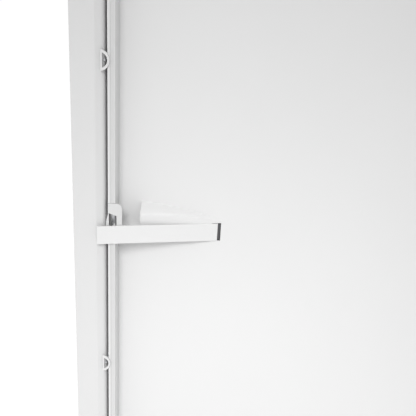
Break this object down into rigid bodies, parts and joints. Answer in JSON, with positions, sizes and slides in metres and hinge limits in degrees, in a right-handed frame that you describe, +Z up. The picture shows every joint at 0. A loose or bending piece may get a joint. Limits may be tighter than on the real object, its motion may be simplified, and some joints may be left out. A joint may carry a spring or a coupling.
{
  "type": "locker cabinet",
  "caption": "Tall sheet-steel locker with a recessed hinged door, side pull lever, vertical lock bar, hat shelf, coat rail and levelling feet",
  "frame": {"origin": "floor level under the middle of the outline", "axes": "+Z up, the door faces -Y, +X towards the hinge side"},
  "size_m": [0.5024, 0.456, 1.5],
  "materials": {
    "body_paint": "white powder coat, fine orange peel, satin",
    "door_paint": "white powder coat, fine orange peel, satin",
    "lever_paint": "white powder coat worn smooth on the edges",
    "zinc_plate": "bright zinc plate",
    "bright_chrome": "bright plated tube and wire",
    "black_rubber": "matt moulded rubber",
    "black_nylon": "matt moulded nylon"
  },
  "bodies": {
    "cabinet": {"left_side": "body_paint", "right_side": "body_paint", "back_panel": "body_paint", "top_panel": "body_paint", "floor_panel": "body_paint", "plinth": "body_paint", "left_stile": "body_paint", "right_stile": "body_paint", "head_rail": "body_paint", "sill_rail": "body_paint", "catch_studs": "zinc_plate", "door_buffers": "black_rubber", "hinge_frame_leaves": "zinc_plate", "hinge_pins": "zinc_plate", "hinge_frame_rivets": "zinc_plate", "hat_shelf": "body_paint", "shelf_clips": "zinc_plate", "coat_rail": "bright_chrome", "rail_brackets": "bright_chrome", "coat_hooks": "bright_chrome", "foot_plates": "zinc_plate", "foot_studs": "zinc_plate", "foot_pads": "black_rubber", "body_rivets": "zinc_plate"},
    "door": {"door_panel": "door_paint", "door_stiffener": "door_paint", "hinge_door_leaves": "zinc_plate", "hinge_door_rivets": "zinc_plate", "door_eyes": "door_paint", "latch_plate": "door_paint", "lever_hood": "door_paint", "lever_bracket": "zinc_plate", "lever_pin": "zinc_plate", "crank_stud": "zinc_plate", "bar_guides": "black_nylon", "louvre_blades": "door_paint", "card_holder": "bright_chrome", "card_holder_rivets": "zinc_plate", "return_spring": "zinc_plate"},
    "lever": {"pull_lever": "lever_paint", "lever_hub": "black_nylon"},
    "crank": {"lift_crank": "zinc_plate", "crank_peg": "zinc_plate"},
    "bar": {"lock_bar": "zinc_plate", "bar_fingers": "zinc_plate", "centre_hook": "door_paint", "bar_lug": "zinc_plate"}
  },
  "joints": [
    {"name": "door_hinge", "type": "hinge", "parent": "cabinet", "child": "door", "pos_m": [0.21585, -0.225, 0.7865], "axis": [0, 0, 1], "range_deg": [0, 110]},
    {"name": "lever_pull", "type": "hinge", "parent": "door", "child": "lever", "pos_m": [-0.0965, -0.1918, 0.7765], "axis": [0, 0, 1], "range_deg": [0, 25], "stiffness_Nm_per_rad": 0.5, "springref_deg": -34.38},
    {"name": "crank_turn", "type": "hinge", "parent": "door", "child": "crank", "pos_m": [-0.1495, -0.1945, 0.7765], "axis": [0, 1, 0], "range_deg": [0, 7.58]},
    {"name": "bar_lift", "type": "slide", "parent": "door", "child": "bar", "axis": [0, 0, 1], "range_m": [0, 0.00802]}
  ],
  "couplings": [
    {"joint": "crank_turn", "follows": "lever_pull", "ratio": 0.30255},
    {"joint": "bar_lift", "follows": "lever_pull", "m_per_rad": 0.018335}
  ]
}
